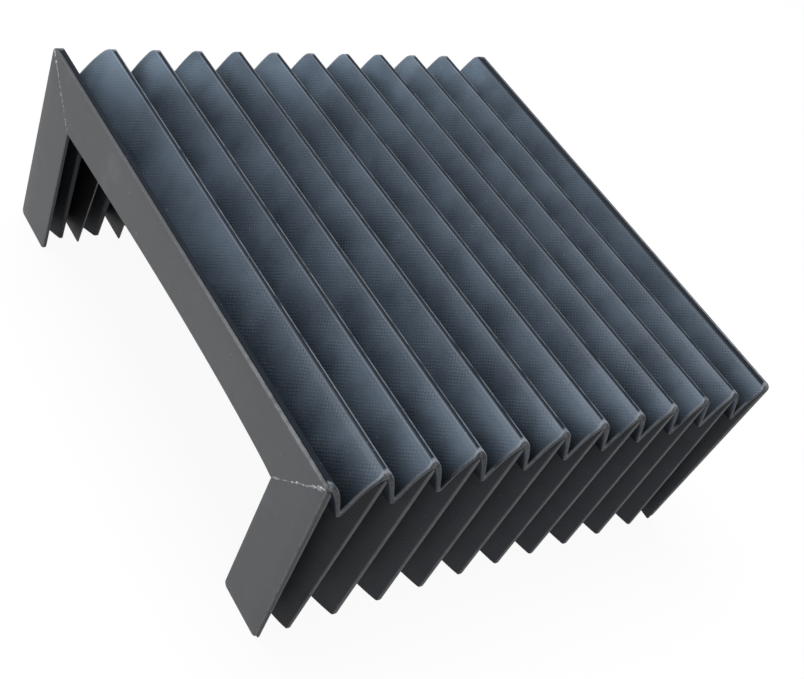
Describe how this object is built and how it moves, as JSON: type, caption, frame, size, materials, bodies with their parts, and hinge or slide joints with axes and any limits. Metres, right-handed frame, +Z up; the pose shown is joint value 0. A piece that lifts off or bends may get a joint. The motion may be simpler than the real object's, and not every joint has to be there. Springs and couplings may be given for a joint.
{
  "type": "bellows way cover",
  "caption": "Inverted-U pleated bellows that straddles a machine guideway and keeps chips off it, with a mitred frame at each end; it folds up and stretches along its length.",
  "frame": {"origin": "on the floor, under the middle of the cover", "axes": "+X along the travel from the front frame to the rear frame, +Y along the crests towards the left leg, +Z up"},
  "size_m": [0.2468, 0.24, 0.094],
  "materials": {
    "pleated_cloth": "dark blue-grey coated cloth with a fine weave, stiffened in flat panels",
    "end_frame": "smooth matte grey, scuffed along the edges"
  },
  "bodies": {
    "front_end": {"front_top_bar": "end_frame", "front_right_leg": "end_frame", "front_left_leg": "end_frame", "top_pleats": "pleated_cloth", "right_pleats": "pleated_cloth", "left_pleats": "pleated_cloth"},
    "rear_end": {"rear_top_bar": "end_frame", "rear_right_leg": "end_frame", "rear_left_leg": "end_frame"}
  },
  "joints": [
    {"name": "extension", "type": "slide", "parent": "front_end", "child": "rear_end", "axis": [1, 0, 0], "range_m": [-0.165, 0.12], "deforming": ["top_pleats", "right_pleats", "left_pleats"]}
  ]
}
